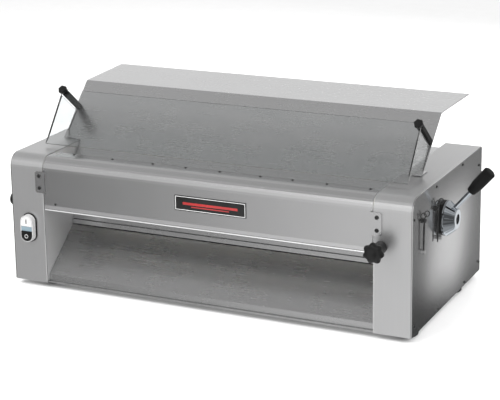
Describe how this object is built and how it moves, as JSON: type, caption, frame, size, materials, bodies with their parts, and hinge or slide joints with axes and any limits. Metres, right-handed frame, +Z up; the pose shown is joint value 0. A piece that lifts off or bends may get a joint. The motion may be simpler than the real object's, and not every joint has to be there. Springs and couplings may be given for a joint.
{
  "type": "dough sheeter",
  "caption": "Table-top dough sheeter: stainless body with two columns, hopper and clear guard above horizontal rollers, sloped discharge, gap lever, star knob and start-stop switch.",
  "frame": {"origin": "middle of the outer box in plan, at the level of the feet's undersides", "axes": "+X to the machine's right seen from its front, +Y towards its rear, +Z up"},
  "size_m": [0.9898, 0.4774, 0.3922],
  "materials": {
    "brushed_steel": "fine brushed stainless sheet",
    "frame_steel": "plain machined and plate steel",
    "chrome": "polished chrome plate",
    "dark_steel": "blackened steel",
    "black_plastic": "black moulded plastic",
    "light_plastic": "light grey moulded plastic",
    "lens_plastic": "pale blue-grey lens",
    "clear_plastic": "clear sheet",
    "roller_plastic": "off-white food plastic",
    "rubber": "black rubber",
    "bronze": "plain bush bronze",
    "motor_housing": "grey painted casting",
    "grey_box": "grey enclosure",
    "nameplate": "printed dark plate"
  },
  "bodies": {
    "frame": {"base_plate": "frame_steel", "column_shell_left": "brushed_steel", "column_shell_right": "brushed_steel", "inner_wall_left": "frame_steel", "inner_wall_right": "frame_steel", "side_cover_left": "brushed_steel", "side_cover_right": "brushed_steel", "foot_front_left": "rubber", "foot_front_right": "rubber", "foot_rear_left": "rubber", "foot_rear_right": "rubber", "rear_cover": "brushed_steel", "apron": "brushed_steel", "nameplate": "nameplate", "keeper_plate_left": "brushed_steel", "keeper_plate_right": "brushed_steel", "chute": "brushed_steel", "chute_back": "brushed_steel", "hopper": "brushed_steel", "hopper_bracket_left": "brushed_steel", "hopper_bracket_right": "brushed_steel", "clear_guard": "clear_plastic", "guard_spacer_left": "black_plastic", "guard_spacer_right": "black_plastic", "guard_knob_left": "black_plastic", "guard_knob_right": "black_plastic", "front_bush_left": "bronze", "front_bush_right": "bronze", "gearmotor": "motor_housing", "drive_belt": "rubber", "control_box": "grey_box", "cable_gland": "black_plastic", "anchor_pin_front": "dark_steel", "anchor_pin_rear": "dark_steel", "button_bezel": "light_plastic", "pilot_lens": "lens_plastic", "contact_block": "black_plastic", "star_boss": "frame_steel"},
    "front_roller": {"front_roller": "roller_plastic", "front_gear": "frame_steel", "roller_pulley": "frame_steel"},
    "rear_carriage": {"rear_carrier_left": "frame_steel", "rear_carrier_right": "frame_steel"},
    "rear_roller": {"rear_roller": "roller_plastic", "rear_gear": "frame_steel"},
    "gap_control": {"gap_camshaft": "frame_steel", "dial_hub": "chrome", "dial_screw": "dark_steel", "lever_rod": "chrome", "lever_grip": "black_plastic"},
    "motor_pulley": {"motor_pulley": "frame_steel"},
    "front_scraper": {"front_scraper": "brushed_steel", "hand_knob": "black_plastic"},
    "rear_scraper": {"rear_scraper": "brushed_steel"},
    "front_spring": {"retaining_spring_front": "dark_steel"},
    "rear_spring": {"retaining_spring_rear": "dark_steel"},
    "start_button": {"start_button": "light_plastic"},
    "stop_button": {"stop_button": "black_plastic"},
    "star_knob": {"star_knob": "black_plastic"}
  },
  "joints": [
    {"name": "front_roller_spin", "type": "hinge", "parent": "frame", "child": "front_roller", "pos_m": [-0.03494, -0.14168, 0.21], "axis": [1, 0, 0], "continuous": true},
    {"name": "rear_carriage_slide", "type": "slide", "parent": "frame", "child": "rear_carriage", "axis": [0, 1, 0], "range_m": [-0.00451, 0.00451]},
    {"name": "rear_roller_spin", "type": "hinge", "parent": "rear_carriage", "child": "rear_roller", "pos_m": [-0.03494, -0.07468, 0.21], "axis": [1, 0, 0], "continuous": true},
    {"name": "gap_lever_turn", "type": "hinge", "parent": "frame", "child": "gap_control", "pos_m": [-0.03494, -0.02368, 0.197], "axis": [1, 0, 0], "range_deg": [-60, 60]},
    {"name": "motor_pulley_spin", "type": "hinge", "parent": "frame", "child": "motor_pulley", "pos_m": [-0.03494, 0.10832, 0.11], "axis": [1, 0, 0], "continuous": true},
    {"name": "front_scraper_tilt", "type": "hinge", "parent": "frame", "child": "front_scraper", "pos_m": [-0.03494, -0.14467, 0.167], "axis": [1, 0, 0], "range_deg": [-35, 0], "stiffness_Nm_per_rad": 1, "springref_deg": 11.46},
    {"name": "rear_scraper_tilt", "type": "hinge", "parent": "frame", "child": "rear_scraper", "pos_m": [-0.03494, -0.05168, 0.166], "axis": [1, 0, 0], "range_deg": [0, 12], "stiffness_Nm_per_rad": 1.5, "springref_deg": -11.46},
    {"name": "front_spring_swing", "type": "hinge", "parent": "frame", "child": "front_spring", "pos_m": [0.39506, -0.14467, 0.167], "axis": [1, 0, 0], "range_deg": [0, 25]},
    {"name": "rear_spring_swing", "type": "hinge", "parent": "frame", "child": "rear_spring", "pos_m": [0.39506, -0.05168, 0.166], "axis": [1, 0, 0], "range_deg": [0, 25]},
    {"name": "start_button_press", "type": "slide", "parent": "frame", "child": "start_button", "axis": [0, 1, 0], "range_m": [0, 0.003], "stiffness_N_per_m": 300, "springref_m": -0.002},
    {"name": "stop_button_press", "type": "slide", "parent": "frame", "child": "stop_button", "axis": [0, 1, 0], "range_m": [0, 0.003], "stiffness_N_per_m": 300, "springref_m": -0.002},
    {"name": "star_knob_turn", "type": "hinge", "parent": "frame", "child": "star_knob", "pos_m": [0.33456, -0.19168, 0.182], "axis": [0, 1, 0], "range_deg": [-180, 180]}
  ],
  "couplings": [
    {"joint": "rear_roller_spin", "follows": "front_roller_spin", "ratio": -1},
    {"joint": "motor_pulley_spin", "follows": "front_roller_spin", "ratio": 1.5},
    {"joint": "rear_carriage_slide", "follows": "gap_lever_turn", "m_per_rad": -0.0042972}
  ]
}
